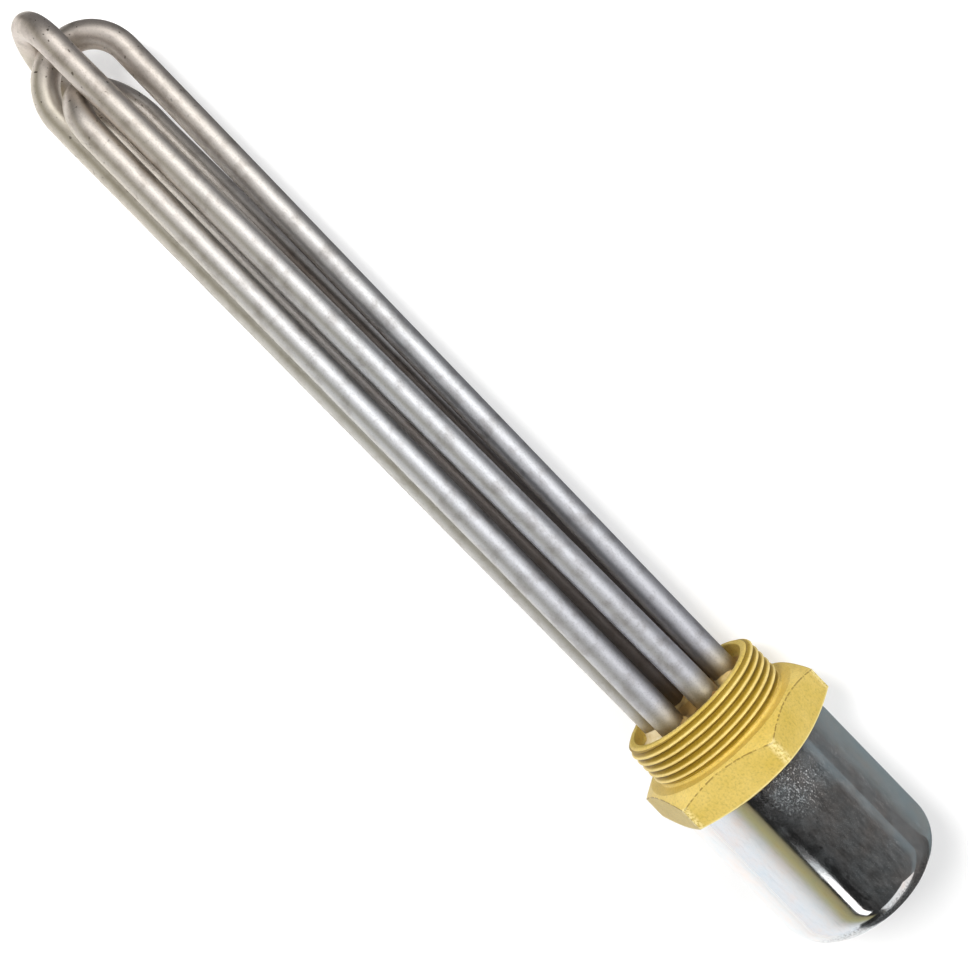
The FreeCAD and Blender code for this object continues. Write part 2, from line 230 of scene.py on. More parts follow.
# %% Plug sizes
thread_radius = 47.803 / 2
thread_pitch = 25.4 / 11
thread_depth = 0.62 * thread_pitch
spigot_length = 13.9
mouth_radius = 20.5
mouth_floor = 10.0
rim_outer_radius = 21.9
chamfer_length = 1.3
relief_radius = 23.1
relief_width = 0.7
thread_fade = (0.5, 1.5)
thread_start = 0.4
thread_rows = 0.1
lip_length = 0.4
relief_end = 0.6
relief_taper = 0.3
across_flats = 55.0
hex_corner = across_flats / sqrt(3)
hex_thickness = 11.9
front_chamfer_radius = 26.6
front_slope = 3.2 / (hex_corner - front_chamfer_radius)
rear_chamfer_radius = 26.0
rear_slope = 2.0 / (hex_corner - rear_chamfer_radius)
collar_radius = 24.7
collar_bore_radius = 22.3
collar_end = -19.9
bowl_radius = 18.9
web_back = 4.0
bowl_slope = (-1.5, -7.0)
boss_radius = 4.8
boss_end = -4.0
stud_hole_radius = 2.55
stud_hole_end = 5.0
hex_corner_rounding = 0.8
terminal_turn = 1.7
tube_circle_radius = 13.0
foot_hole_play = 0.05
foot_hole_over = 0.5
sheath_radius = 4.25
terminal_angles = terminal_turn + 60 * np.arange(6)

# %% Plug surface


def clustered_angles(per_sector):
    """Angles round the axis that crowd near the six corners of the hexagon, where it bends."""
    t = np.arange(per_sector) / per_sector
    share = t - 0.8 * np.sin(2 * np.pi * t) / (2 * np.pi)
    return (60 * (np.arange(6)[:, None] + share[None, :])).ravel()


def hexagon_radius(angle, flats, corner_radius):
    """Distance from the axis to a hexagon with corners at 0, 60, ... degrees, its corners rounded.

    On a flat it is the half width over the cosine of the angle from the flat's middle. Near a
    corner it is where the ray meets the rounding circle.
    """
    off = (angle + 30) % 60 - 30
    flat = flats / 2 / np.cos(np.radians(30 - np.abs(off)))
    centre = (flats / 2 - corner_radius) / np.cos(np.radians(30))
    side = centre * np.sin(np.radians(off))
    circle = centre * np.cos(np.radians(off)) + np.sqrt(np.maximum(corner_radius ** 2 - side ** 2, 0))
    return np.where(np.abs(side) < corner_radius / 2, circle, flat)


def thread_wave(phase):
    """A rounded triangle wave, 0 on a crest and 1 in a root: the arc sine of a squashed cosine."""
    squash = 0.88
    return 0.5 - 0.5 * np.arcsin(squash * np.cos(2 * np.pi * phase)) / np.arcsin(squash)


def threaded_radius(x, angle):
    """The plug's radius from the rim to the relief: chamfer, thread and relief, whichever is lowest.

    The thread's depth fades to nothing before the relief, where the cutting tool was drawn out.
    """
    phase = (x + thread_start) / thread_pitch - angle / 360
    fade = np.clip((x - thread_fade[0]) / (thread_fade[1] - thread_fade[0]), 0, 1)
    thread = thread_radius - thread_depth * thread_wave(phase) * fade
    chamfer_slope = (thread_radius - rim_outer_radius) / chamfer_length
    chamfer = rim_outer_radius + (spigot_length - x) * chamfer_slope
    run_out = relief_radius + np.maximum(x - relief_width, 0)
    return np.minimum(np.minimum(thread, chamfer), run_out)


def plug_rows():
    """x and radius of the plug as rows by columns, from the mouth's floor round to the stud's hole.

    With them come three numbers for each point: groove, from 0.1 on a crest of the thread to 1 in
    its root and 0 elsewhere; crease, which is 1 on the edge between a flat and the front cone and
    falls by a tenth for each millimetre away from it; and back_edge, the same for the rear edge.
    """
    front_rows, side_rows, shade_reach = 9, 16, 10.0
    angle = clustered_angles(48)
    around = np.ones_like(angle)

    def plain(profile):
        return profile[:, :1] * around, profile[:, 1:] * around

    lip_end = spigot_length - lip_length
    mouth = eased([(mouth_floor, 0.01), (mouth_floor, mouth_radius), (spigot_length, mouth_radius),
                   (spigot_length, rim_outer_radius),
                   (lip_end, float(threaded_radius(lip_end, 90.0)))], [0.8, 0.35, 0.3], 0.9)
    last_row = relief_end + thread_rows / 2
    x_thread = np.arange(lip_end - thread_rows, last_row, -thread_rows)[:, None]
    thread = threaded_radius(x_thread, angle)
    relief = eased([(relief_end, relief_radius), (0.0, relief_radius + relief_taper),
                    (0.0, front_chamfer_radius)], [0.5], 0.5)
    corner = hexagon_radius(angle, across_flats, hex_corner_rounding)
    front_x = -front_slope * (corner - front_chamfer_radius)
    rear_x = -hex_thickness + rear_slope * (corner - rear_chamfer_radius)
    share = np.linspace(0, 1, front_rows)[:, None]
    front = (front_x * share, front_chamfer_radius + (corner - front_chamfer_radius) * share)
    side_share = np.linspace(0, 1, side_rows + 1)[1:, None]
    side = (front_x + (rear_x - front_x) * side_share, corner * np.ones_like(side_share))
    rear = (rear_x + (-hex_thickness - rear_x) * share[1:],
            corner + (rear_chamfer_radius - corner) * share[1:])
    collar = eased([(-hex_thickness, rear_chamfer_radius), (-hex_thickness, collar_radius),
                    (collar_end, collar_radius), (collar_end, collar_bore_radius),
                    (bowl_slope[1], collar_bore_radius), (bowl_slope[0], bowl_radius),
                    (web_back, bowl_radius), (web_back, boss_radius), (boss_end, boss_radius),
                    (boss_end, stud_hole_radius), (stud_hole_end, stud_hole_radius),
                    (stud_hole_end, 0.01)],
                   [0.1, 0.5, 0.3, 0.5, 0.5, 0.3, 0.3, 0.4, 0.2, 0.2], 1.6)
    blocks = [plain(mouth), (x_thread * around, thread), plain(relief), front, side, rear,
              plain(collar[1:])]
    x = np.concatenate([block[0] for block in blocks])
    radius = np.concatenate([block[1] for block in blocks])
    in_thread = (x > relief_width + relief_taper) & (x < lip_end) & (radius > rim_outer_radius)
    groove = np.where(in_thread, np.clip((thread_radius - radius) / thread_depth, 0.1, 1), 0)
    crease, back_edge = np.zeros_like(x), np.zeros_like(x)
    start = len(mouth) + len(x_thread) + len(relief)
    on_side = slice(start + front_rows, start + front_rows + side_rows)
    from_crease = np.hypot(front[0] - front_x, front[1] - corner)
    crease[start:start + front_rows] = 1 - from_crease / shade_reach
    crease[on_side] = 1 - np.abs(side[0] - front_x) / shade_reach
    back_edge[on_side] = 1 - np.abs(side[0] - rear_x) / shade_reach
    shades = {"groove": groove, "crease": np.clip(crease, 0, 1), "back_edge": np.clip(back_edge, 0, 1)}
    return x, radius, angle, shades


plug_x, plug_r, plug_angle, plug_shades = plug_rows()
plug_ends = [(plug_x[0].mean(), 0, 0), (plug_x[-1].mean(), 0, 0)]
plug_shades = {name: np.append(values.ravel(), [0, 0]) for name, values in plug_shades.items()}
plug = capped_rows("plug_body", round_axis(plug_x, plug_r, plug_angle), *plug_ends,
                   smooth_below=32, shades=plug_shades)
tube_feet = round_axis(0.0, tube_circle_radius, terminal_angles)
through = np.array([(web_back - foot_hole_over, 0, 0), (mouth_floor + foot_hole_over, 0, 0)])
cut_holes(plug, [round_cutter(f"foot_hole_{k}", *(foot + through), sheath_radius + foot_hole_play)
                 for k, foot in enumerate(tube_feet)])
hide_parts("screw_plug")
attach(plug, "heater")

# %% [markdown]
# ## The heating tubes
# Each hairpin is one drawn tube, bent over a former at its tip. Its legs leave the plug straight,
# lean a little outwards, and meet a half circle. The three bends are turned and shifted against
# each other, as hands left them when they were nested. A centre line is laid through the corners
# of this route with large arcs, and a circle is carried along it. One of the circle's directions
# stays on the bend's own axis, so nothing twists.

# %% Tube sizes
sheath_wall = 0.7
bend_radius = 14.3
ease_radius = 150.0
straight_to = spigot_length + 6.0
straight_into_bend = 6.0
sheath_end = 1.0
tip_reach = 290.0
leg_spacing = 2.2
bend_spacing = 0.75
hairpins = {
    "long": {"place": 2, "turn": -0.6, "drift": (4.5, 1.2), "back": 0.0},
    "middle": {"place": 0, "turn": 7.9, "drift": (1.0, 0.2), "back": 9.6},
    "short": {"place": 1, "turn": 13.3, "drift": (3.0, 0.9), "back": 24.8},
}

# %% Tube surface


def rounded_route(corners, radius, spacing):
    """Points along straight runs between corners, each corner replaced by a tangent arc.

    An arc that turns by an angle starts radius times the tangent of half that angle before its
    corner. Along it a point is the start direction and the inward direction, mixed by sine and
    one less cosine.
    """
    def straight(start, end):
        steps = max(2, int(np.linalg.norm(end - start) / spacing))
        return start + (end - start) * np.linspace(0, 1, steps, endpoint=False)[:, None]

    corners = np.asarray(corners, float)
    pieces, last = [], corners[0]
    for before, corner, after in zip(corners, corners[1:], corners[2:]):
        ahead, onward = unit(corner - before), unit(after - corner)
        turning = np.arccos(np.clip(ahead @ onward, -1, 1))
        start = corner - ahead * radius * np.tan(turning / 2)
        inward = unit(onward - ahead * (ahead @ onward))
        pieces.append(straight(last, start))
        steps = max(4, int(radius * turning / spacing))
        angles = np.linspace(0, turning, steps, endpoint=False)[:, None]
        pieces.append(start + radius * (np.sin(angles) * ahead + (1 - np.cos(angles)) * inward))
        last = corner + onward * radius * np.tan(turning / 2)
    pieces.append(straight(last, corners[-1]))
    return np.concatenate(pieces)


def leg_corners(shape, opposite):
    """One leg's route: the tube's end, two gentle bends, and the start of the half circle."""
    angle = terminal_angles[shape["place"] + (3 if opposite else 0)]
    bend_x = tip_reach - sheath_radius - shape["back"] - bend_radius
    foot = round_axis(0.0, tube_circle_radius, angle)
    top = round_axis(bend_x, bend_radius, angle + shape["turn"]) + np.array([0, *shape["drift"]])
    return np.array([foot + (sheath_end, 0, 0), foot + (straight_to, 0, 0),
                     top - (straight_into_bend, 0, 0), top])


def hairpin_line(shape):
    """The centre line of one hairpin: up one leg, round the half circle and down the other."""
    up, down = leg_corners(shape, False), leg_corners(shape, True)
    across = unit(down[-1] - up[-1])
    angles = np.linspace(0, np.pi, int(np.pi * bend_radius / bend_spacing))[:, None]
    centre = (up[-1] + down[-1]) / 2
    bend = centre + bend_radius * (np.sin(angles) * np.array([1, 0, 0]) - np.cos(angles) * across)
    legs = [rounded_route(corners, ease_radius, leg_spacing) for corners in (up, down)]
    return np.concatenate([legs[0], bend, legs[1][::-1]]), np.cross(np.array([1.0, 0, 0]), across)


def swept_rings(line, side, radius, columns):
    """Rings of points around a line; side is a direction that stays near square to the whole line.

    The radius is one number, or an array of rows by columns.
    """
    ahead = unit(np.gradient(line, axis=0))
    first = unit(side - ahead * (ahead @ side)[:, None])
    second = np.cross(first, ahead)
    turn = np.linspace(0, 2 * np.pi, columns, endpoint=False)[None, :, None]
    reach = np.broadcast_to(radius, (len(line), columns))[..., None]
    return line[:, None] + reach * (np.cos(turn) * first[:, None] + np.sin(turn) * second[:, None])


def hairpin_tube(name, shape, columns=48):
    """A hollow tube: the outer skin from end to end, then the bore back, closed ring to ring."""
    line, side = hairpin_line(shape)
    outer = swept_rings(line, side, sheath_radius, columns)
    sparse = line[np.unique(np.concatenate([np.arange(0, len(line), 4), [len(line) - 1]]))]
    inner = swept_rings(sparse, side, sheath_radius - sheath_wall, columns)[::-1]
    points = np.concatenate([outer, inner])
    quads = grid_faces(len(points), columns, close_rows=True)
    return new_piece(name, points.reshape(-1, 3), quads, smooth_below=40)


tubes = {}
for key, shape in hairpins.items():
    tubes[key] = hairpin_tube("hairpin_" + key, shape)
    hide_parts("sheath_" + key)
    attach(tubes[key], "heater")

# %% [markdown]
# ## The braze
# Each tube is brazed into the plug's web. The metal has run up the tube and out over the floor, on
# every side by a different amount. A ring round each tube has a hollow profile whose height and
# spread vary with the angle by a few slow waves.

# %% Braze sizes
# height up the tube, spread over the floor, and tone: 0 is pale flux and 1 is brown braze
braze_feet = [(3.0, 2.8, 0.05), (2.4, 3.6, 0.6), (2.8, 3.6, 0.7),
              (2.4, 2.2, 0.3), (1.6, 1.8, 0.7), (1.5, 1.7, 0.5)]
braze_radius = sheath_radius - 0.06
braze_base = mouth_floor - 0.15

# %% Braze surface


def braze_ring(foot, height, spread, seed, columns=72):
    """Rows by columns of points: down a hollow curve from the tube to the floor, and back under it.

    At a share of the curve the distance from the tube is the spread times that share to the power
    1.6, and the height is the full height times the share that is left to the power 1.9.
    """
    angle = np.linspace(0, 2 * np.pi, columns, endpoint=False)
    wave = 1 + 0.22 * np.sin(2 * angle + seed) + 0.08 * np.sin(5 * angle + 2.3 * seed)
    t = np.linspace(0, 1, 12)[:, None]
    lumps = 1 + 0.04 * np.sin(7 * angle + 9 * t + seed)
    reach = braze_radius + spread * wave * t ** 1.6 * lumps
    up = mouth_floor + height * wave * (1 - t) ** 1.9 * lumps
    floor = np.full((1, columns), braze_base)
    reach = np.concatenate([reach, reach[-1:], np.full((1, columns), braze_radius)])
    up = np.concatenate([up, floor, floor])
    return foot + np.stack([up, reach * np.cos(angle), reach * np.sin(angle)], -1)


def braze_piece():
    """All six rings as one piece, each with its own tone."""
    rings = [braze_ring(foot, *sizes[:2], 1.7 * k)
             for k, (foot, sizes) in enumerate(zip(tube_feet, braze_feet))]
    rows, columns = rings[0].shape[:2]
    quads = grid_faces(rows, columns, close_rows=True)
    each = rows * columns
    faces = np.concatenate([quads[:, ::-1] + k * each for k in range(len(rings))])
    tone = np.repeat([sizes[2] for sizes in braze_feet], each)
    return new_piece("braze_runs", np.concatenate(rings).reshape(-1, 3), faces, smooth_below=60,
                     shades={"tone": tone})


braze = braze_piece()
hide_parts("braze_fillets")
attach(braze, "heater")

# %% [markdown]
# ## The cap
# The cap is a cup drawn from sheet metal, with a long radius between wall and end. It is
# mirror-like, so flat facets would show as broken reflections. Many points along its profile and
# many columns round the axis keep the reflections calm. The hole for the cable is cut by a
# Boolean, which is simpler than bending the grid round it.

# %% Cap sizes
cap_radius = 26.0
cap_wall = 1.0
cap_corner = 10.0
cap_end = -64.1
cap_rim = -hex_thickness
cap_hole_radius = 2.7
inlet_x = cap_end + 24.0
inlet_angle = -45.0
inlet_radius = 5.4

# %% Cap surface


def places(x, radius):
    """Points in the (x, radius) plane; either of the two may be one number for all of them."""
    return np.stack(np.broadcast_arrays(x, radius), -1)


def arc_profile(centre, radius, start, end, steps):
    """Points of an arc in that plane, its angles in degrees from the +x direction."""
    turn = np.radians(np.linspace(start, end, steps))
    return places(centre[0] + radius * np.cos(turn), centre[1] + radius * np.sin(turn))


def cap_profile():
    """The closed section of the cup: rim, outer wall, outer corner, end, hole, inner end and wall."""
    edge = 0.2
    bend = (cap_end + cap_corner, cap_radius - cap_corner)
    outer = places(np.linspace(cap_rim - edge, bend[0], 60)[:-1], cap_radius)
    corner = arc_profile(bend, cap_corner, 90, 180, 48)
    end = places(cap_end, np.linspace(bend[1], cap_hole_radius + edge, 18)[1:])
    inner_end = places(cap_end + cap_wall, np.linspace(cap_hole_radius + edge, bend[1], 8))
    inner_corner = arc_profile(bend, cap_corner - cap_wall, 180, 90, 20)[1:]
    inner = places(np.linspace(bend[0], cap_rim - edge, 12)[1:], cap_radius - cap_wall)
    hole = np.array([(cap_end + edge, cap_hole_radius), (cap_end + cap_wall - edge, cap_hole_radius)])
    rim = np.array([(cap_rim, cap_radius - cap_wall + edge), (cap_rim, cap_radius - edge)])
    return np.concatenate([outer, corner, end, hole, inner_end, inner_corner, inner, rim])


def cap_piece():
    """The section carried round the axis, with the cable's hole cut in the wall."""
    profile = cap_profile()
    angle = np.linspace(0, 360, 240, endpoint=False)
    points = round_axis(profile[:, :1], profile[:, 1:], angle)
    quads = grid_faces(len(profile), len(angle), close_rows=True)
    piece = new_piece("cap_shell", points.reshape(-1, 3), quads, smooth_below=35)
    inlet = [round_axis(inlet_x, r, inlet_angle) for r in (cap_radius / 2, cap_radius + 4)]
    cut_holes(piece, [round_cutter("inlet_hole", *inlet, inlet_radius)])
    return piece


cap = cap_piece()
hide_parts("terminal_cap")
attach(cap, "cap")

# %% [markdown]
# ## Threaded pins and stud
# The terminals are M4 pins that run down inside the tubes, and an M5 stud holds the cap. Their
# threads are too fine for the solids. Here each is a rod along its own line, whose radius rises
# and falls with a slanted phase, as on the plug. Only the part outside is threaded.

# %% Rod sizes
pin_radius = 2.0
pin_pitch = 0.7
pin_dome = 0.8
pin_end = -15.0
pin_thread_end = -5.2
cold_length = 45.0
stud_radius = 2.5
stud_pitch = 0.8
stud_dome = 1.0
stud_end = cap_end - 6.4
stud_thread_end = cap_end + 8.0
stud_middle = -20.0
stud_inner_end = 4.0
rod_depth_share = 0.6
rows_per_turn = 9
thread_margin = 0.5
inner_spacing = 3.0

# %% Rod surface


def domed_rows(radius, dome, end, start, pitch):
    """x and radius of a rod's outer end: a spherical dome, then rows close enough for a thread.

    The radius of the dome's sphere is the rod's radius squared plus the dome's height squared,
    over twice that height.
    """
    ball = (radius ** 2 + dome ** 2) / (2 * dome)
    depth = dome * np.linspace(0.15, 1, 9) ** 2
    dome_radius = np.sqrt(2 * ball * depth - depth ** 2)
    x = np.arange(end + dome, start, pitch / rows_per_turn)[1:]
    return np.append(end + depth, x), np.append(dome_radius, np.full_like(x, radius))


def threaded_rod(name, line, radius, dome, thread_from, thread_to, pitch, columns=36):
    """A rod along a line that starts at its domed tip, threaded between two places along X."""
    tip_x, tip_radius = domed_rows(radius, dome, line[0][0], thread_to, pitch)
    tip = np.tile(line[0], (len(tip_x), 1))
    tip[:, 0] = tip_x
    whole = np.concatenate([tip, line[1:]])
    plain = np.append(tip_radius, np.full(len(line) - 1, radius))[:, None]
    angle = np.linspace(0, 1, columns, endpoint=False)
    x = whole[:, :1]
    strength = np.clip((x - thread_from) / pitch, 0, 1) * np.clip((thread_to - x) / pitch, 0, 1)
    depth = rod_depth_share * pitch * thread_wave(x / pitch - angle) * strength
    rings = swept_rings(whole, np.array([0, 0, 1.0]), plain - depth, columns)
    return capped_rows(name, rings, line[0], line[-1], smooth_below=50)


def pin_line(index):
    """From the pin's tip, straight into the plug and then up inside the tube to the coil."""
    shape = next(s for s in hairpins.values() if s["place"] == index % 3)
    end, low, high = leg_corners(shape, index > 2)[:3]
    coil = low + (high - low) * (cold_length - low[0]) / (high[0] - low[0])
    foot = end * (0, 1, 1)
    outer = [foot + (pin_end, 0, 0), foot + (pin_thread_end + thread_margin, 0, 0)]
    return np.concatenate([outer, rounded_route([end, low, coil], ease_radius, inner_spacing)])


rods = []
for index in range(6):
    pin = threaded_rod(f"pin_rod_{index + 1}", pin_line(index), pin_radius, pin_dome,
                       pin_end + pin_dome, pin_thread_end, pin_pitch)
    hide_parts(f"terminal_pin_{index + 1}")
    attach(pin, "heater")
    rods.append(pin)

stud_places = [stud_end, stud_thread_end + thread_margin, stud_middle, stud_inner_end]
stud = threaded_rod("stud_rod", np.array([(x, 0, 0) for x in stud_places]), stud_radius, stud_dome,
                    stud_end + stud_dome, stud_thread_end, stud_pitch)
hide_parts("centre_stud")
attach(stud, "heater")
rods.append(stud)

# %% [markdown]
# ## Finishes
# A finish is a few layers of noise that change colour, roughness and height together. Small
# functions add the nodes, so that each finish reads like a recipe. Every pattern is placed by
# Object coordinates, in metres, or by a number stored on the piece, so it moves with the piece.

# %% Node helpers


class Recipe:
    """Short ways to add nodes to the node tree of a material or of the room."""

    def __init__(self, tree, place="Object"):
        self.nodes, self.links = tree.nodes, tree.links
        self.place = self.nodes.new("ShaderNodeTexCoord").outputs[place]

    def add(self, kind, sources, **settings):
        """A new node whose sockets are fed by other nodes' outputs, plain numbers or colours."""
        node = self.nodes.new("ShaderNode" + kind)
        for setting, value in settings.items():
            setattr(node, setting, value)
        for socket, source in sources.items():
            if isinstance(source, (tuple, float, int)):
                node.inputs[socket].default_value = source
            else:
                self.links.new(source, node.inputs[socket])
        return node

    def stretched(self, scale):
        """The coordinates times a number for each axis: a larger one makes a finer noise."""
        return self.add("Mapping", {"Vector": self.place, "Scale": scale}).outputs["Vector"]

    def noise(self, scale, detail, roughness, vector=None, distortion=0.0):
        """A cloudy pattern between 0 and 1, with its middle at 0.5."""
        sources = {"Scale": scale, "Detail": detail, "Roughness": roughness,
                   "Distortion": distortion, "Vector": vector or self.place}
        return self.add("TexNoise", sources).outputs["Fac"]

    def stored(self, name):
        """A number that the piece carries for each point."""
        return self.add("Attribute", {}, attribute_name=name).outputs["Fac"]

    def axes(self):
        """The three coordinates, in metres."""
        return self.add("SeparateXYZ", {0: self.place}).outputs

    def from_axis(self):
        """The distance from the heater's axis: the root of y squared plus z squared."""
        y, z = self.axes()[1:]
        return self.calc("SQRT", self.calc("ADD", self.times(y, y), self.times(z, z)))

    def away_from(self, place):
        """The distance from a place, in metres."""
        sources = {0: self.place, 1: place}
        return self.add("VectorMath", sources, operation="DISTANCE").outputs["Value"]

    def ramp(self, value, stops):
        """Colours or greys at places between 0 and 1."""
        node = self.add("ValToRGB", {"Fac": value})
        elements = node.color_ramp.elements
        while len(elements) < len(stops):
            elements.new(0.5)
        for element, (place, colour) in zip(elements, stops):
            element.position = place
            element.color = colour if isinstance(colour, tuple) else (colour, colour, colour, 1)
        return node.outputs["Color"]

    def blend(self, factor, first, second, kind="MIX"):
        """Mixes two colours by a factor; a plain tuple stands for an even colour."""
        sources = {0: factor, 6: first, 7: second}
        return self.add("Mix", sources, data_type="RGBA", blend_type=kind).outputs[2]

    def calc(self, operation, *values):
        """One operation on numbers, by Blender's name for it."""
        return self.add("Math", dict(enumerate(values)), operation=operation).outputs[0]

    def times(self, first, second):
        """The product of two numbers."""
        return self.calc("MULTIPLY", first, second)

    def fade(self, value, low, high):
        """0 up to low, 1 from high on, and a smooth step between; low may be above high."""
        ends = (low, high, 0.0, 1.0) if low < high else (high, low, 1.0, 0.0)
        names = ("Value", "From Min", "From Max", "To Min", "To Max")
        sources = dict(zip(names, (value, *ends)))
        return self.add("MapRange", sources, interpolation_type="SMOOTHSTEP").outputs["Result"]

    def bump(self, height, distance, strength, after=None):
        """A normal that tilts as if the height were real, from the normal called after."""
        sources = {"Strength": strength, "Distance": distance, "Height": height}
        if after is not None:
            sources["Normal"] = after
        return self.add("Bump", sources).outputs["Normal"]


class Finish(Recipe):
    """A material with a Principled shader, and the recipe that feeds it."""

    def __init__(self, name, **sockets):
        self.material = bpy.data.materials.new(name)
        self.material.use_nodes = True
        super().__init__(self.material.node_tree)
        self.shader = self.nodes["Principled BSDF"]
        for socket, value in sockets.items():
            self.shader.inputs[socket.replace("_", " ")].default_value = value

    def feed(self, target, source):
        """Links a value, colour or normal to one of the shader's sockets."""
        self.links.new(source, self.shader.inputs[target])


def rgb(red, green, blue):
    """A colour as seen on screen, 0 to 255, as the linear colour of a shader."""
    screen = np.array([red, green, blue]) / 255
    linear = np.where(screen <= 0.04045, screen / 12.92, ((screen + 0.055) / 1.055) ** 2.4)
    return (*(float(v) for v in linear), 1.0)


def paint(target, finish):
    """Gives a piece one finish for all its faces."""
    target.data.materials.clear()
    target.data.materials.append(finish.material)
    print(finish.material.name, "is on", target.name)


# %% [markdown]
# ### Sandblasted brass
# The plug was blasted after turning, so it is a matt yellow with a fine grain and dark specks. The
# roots of the thread are darkened as painted shade and its crests lightened as a painted highlight,
# by the number stored in "groove". A broken brown line of painted shade follows the crease between
# each flat and the front cone, and the corners and rear edges of the hexagon get a painted
# highlight, by the numbers in "crease" and "back_edge". The mouth's floor is darkened brown as
# painted shade. A pair of numbers here says where an effect begins and where it is full.

# %% Brass
# where the painted highlights and painted shades of the brass begin and where they are full
corner_highlight_span = (0.0307, 0.0314)
back_edge_highlight_span = (0.945, 0.985)
crease_shade_span = (0.966, 0.984)
mouth_shade_width = (0.0206, 0.0185)
mouth_shade_depth = (0.0085, 0.0095)

brass = Finish("blasted_brass", Metallic=0.2, Roughness=0.45)
grain = brass.noise(1500, 3, 0.6)
fine_grain = brass.noise(4200, 2, 0.6)
cloud = brass.noise(120, 3, 0.6)
brass_colour = brass.ramp(cloud, [(0.3, rgb(212, 183, 84)), (0.7, rgb(226, 199, 110))])
specks = brass.ramp(grain, [(0.30, 0.58), (0.45, 0.88), (0.62, 1.0)])
coloured = brass.blend(0.6, brass_colour, specks, "MULTIPLY")
groove = brass.stored("groove")
# painted shade: the roots of the thread are darkened
root_shade = brass.ramp(groove, [(0.25, 1.0), (0.5, rgb(198, 188, 128)), (1.0, rgb(164, 152, 88))])
coloured = brass.blend(1.0, coloured, root_shade, "MULTIPLY")
# painted highlight: the crests of the thread are lightened
crest_highlight = brass.times(brass.fade(groove, 0.05, 0.09), brass.fade(groove, 0.35, 0.15))
coloured = brass.blend(brass.times(crest_highlight, 0.45), coloured, rgb(250, 230, 160))
# painted shade: a broken brown line along the crease between each flat and the front cone
uneven = brass.fade(brass.noise(900, 2, 0.5), 0.36, 0.52)
crease = brass.times(brass.fade(brass.stored("crease"), *crease_shade_span), uneven)
coloured = brass.blend(brass.times(crease, 0.75), coloured, rgb(132, 104, 42))
reach = brass.from_axis()
# painted highlight on the corners and the rear edges of the hexagon
corners = brass.times(brass.fade(reach, *corner_highlight_span), brass.fade(grain, 0.4, 0.55))
edge_highlight = brass.calc("MAXIMUM", corners, brass.fade(brass.stored("back_edge"), *back_edge_highlight_span))
coloured = brass.blend(brass.times(edge_highlight, 0.6), coloured, rgb(250, 236, 176))
# painted shade: the floor of the mouth is darkened brown
deep = brass.fade(brass.axes()[0], *mouth_shade_depth)
mouth_shade = brass.times(brass.fade(reach, *mouth_shade_width), deep)
coloured = brass.blend(brass.times(mouth_shade, 0.8), coloured, rgb(158, 116, 66))
brass.feed("Base Color", coloured)
brass.feed("Normal", brass.bump(fine_grain, 0.00004, 0.6, brass.bump(grain, 0.00008, 0.6)))
paint(plug, brass)

# %% [markdown]
# ### Annealed steel tube
# The tubes are stainless steel, bright drawn, then mottled by bending and brazing heat. Near the
# tips they are warm grey with a few small pits, and near the plug they are cooler and duller, with
# a trace of straw colour at the feet. A warm painted reflection lightens the side towards +Y. The
# sides that face the middle of the bundle are darkened brown as painted shade, except near the
# tips.

# %% Steel tube
pitted_share = (0.7, 1.0)
duller_share = (0.5, 0.1)
# the side that gets a warm painted reflection
warm_reflection_side = (0.006, 0.012)
# where the painted shade inside the bundle begins and where it is full
inner_shade_width = (0.0128, 0.0095)
inner_shade_end = (0.240, 0.180)

steel = Finish("mottled_steel", Metallic=1.0)
mottle = steel.noise(2100, 4, 0.7)
patch = steel.noise(170, 4, 0.6)
x, y = steel.axes()[:2]
along = steel.times(x, 1 / (tip_reach * MM))
base = steel.ramp(along, [(0.045, rgb(192, 178, 144)), (0.075, rgb(211, 211, 216)),
                          (0.5, rgb(211, 211, 212)), (0.8, rgb(212, 204, 195)),
                          (1.0, rgb(207, 196, 186))])
clouds = steel.ramp(patch, [(0.34, rgb(160, 150, 142)), (0.5, 1.0)])
spots = steel.ramp(mottle, [(0.3, 0.55), (0.47, 1.0)])
toned = steel.blend(0.5, steel.blend(0.35, base, clouds, "MULTIPLY"), spots, "MULTIPLY")
# a warm painted reflection on the side towards +Y
toned = steel.blend(steel.times(steel.fade(y, *warm_reflection_side), 0.4), toned, rgb(206, 199, 178))
# painted shade: the sides facing the middle of the bundle are darkened brown, except near the tips
inside = steel.times(steel.fade(steel.from_axis(), *inner_shade_width), steel.fade(x, *inner_shade_end))
toned = steel.blend(steel.times(inside, 0.85), toned, rgb(82, 68, 56))
pits = steel.fade(steel.noise(620, 1, 0.4), 0.29, 0.25)
pits = steel.times(pits, steel.fade(along, *pitted_share))
steel.feed("Base Color", steel.blend(pits, toned, rgb(90, 80, 70)))
duller = steel.times(steel.fade(along, *duller_share), 0.07)
rough = steel.ramp(mottle, [(0.35, 0.50), (0.62, 0.40)])
steel.feed("Roughness", steel.calc("ADD", duller, rough))
steel.feed("Normal", steel.bump(patch, 0.0001, 0.2, steel.bump(mottle, 0.00004, 0.5)))
for tube in tubes.values():
    paint(tube, steel)

# %% [markdown]
# ### Bright plating
# The cap is polished under its plating. It mirrors the room, with faint clouds, fine marks drawn
# out along its axis, a stain of small dull spots near its rim, and dark pits at its end. The
# clouds leave the side towards +Y clear.

# %% Plating
clear_side = (-0.0015, -0.0065)
end_corner = (-0.0570, -0.0598)
stain_place = (-0.017, -0.012, 0.022)
stain_radius = 0.016

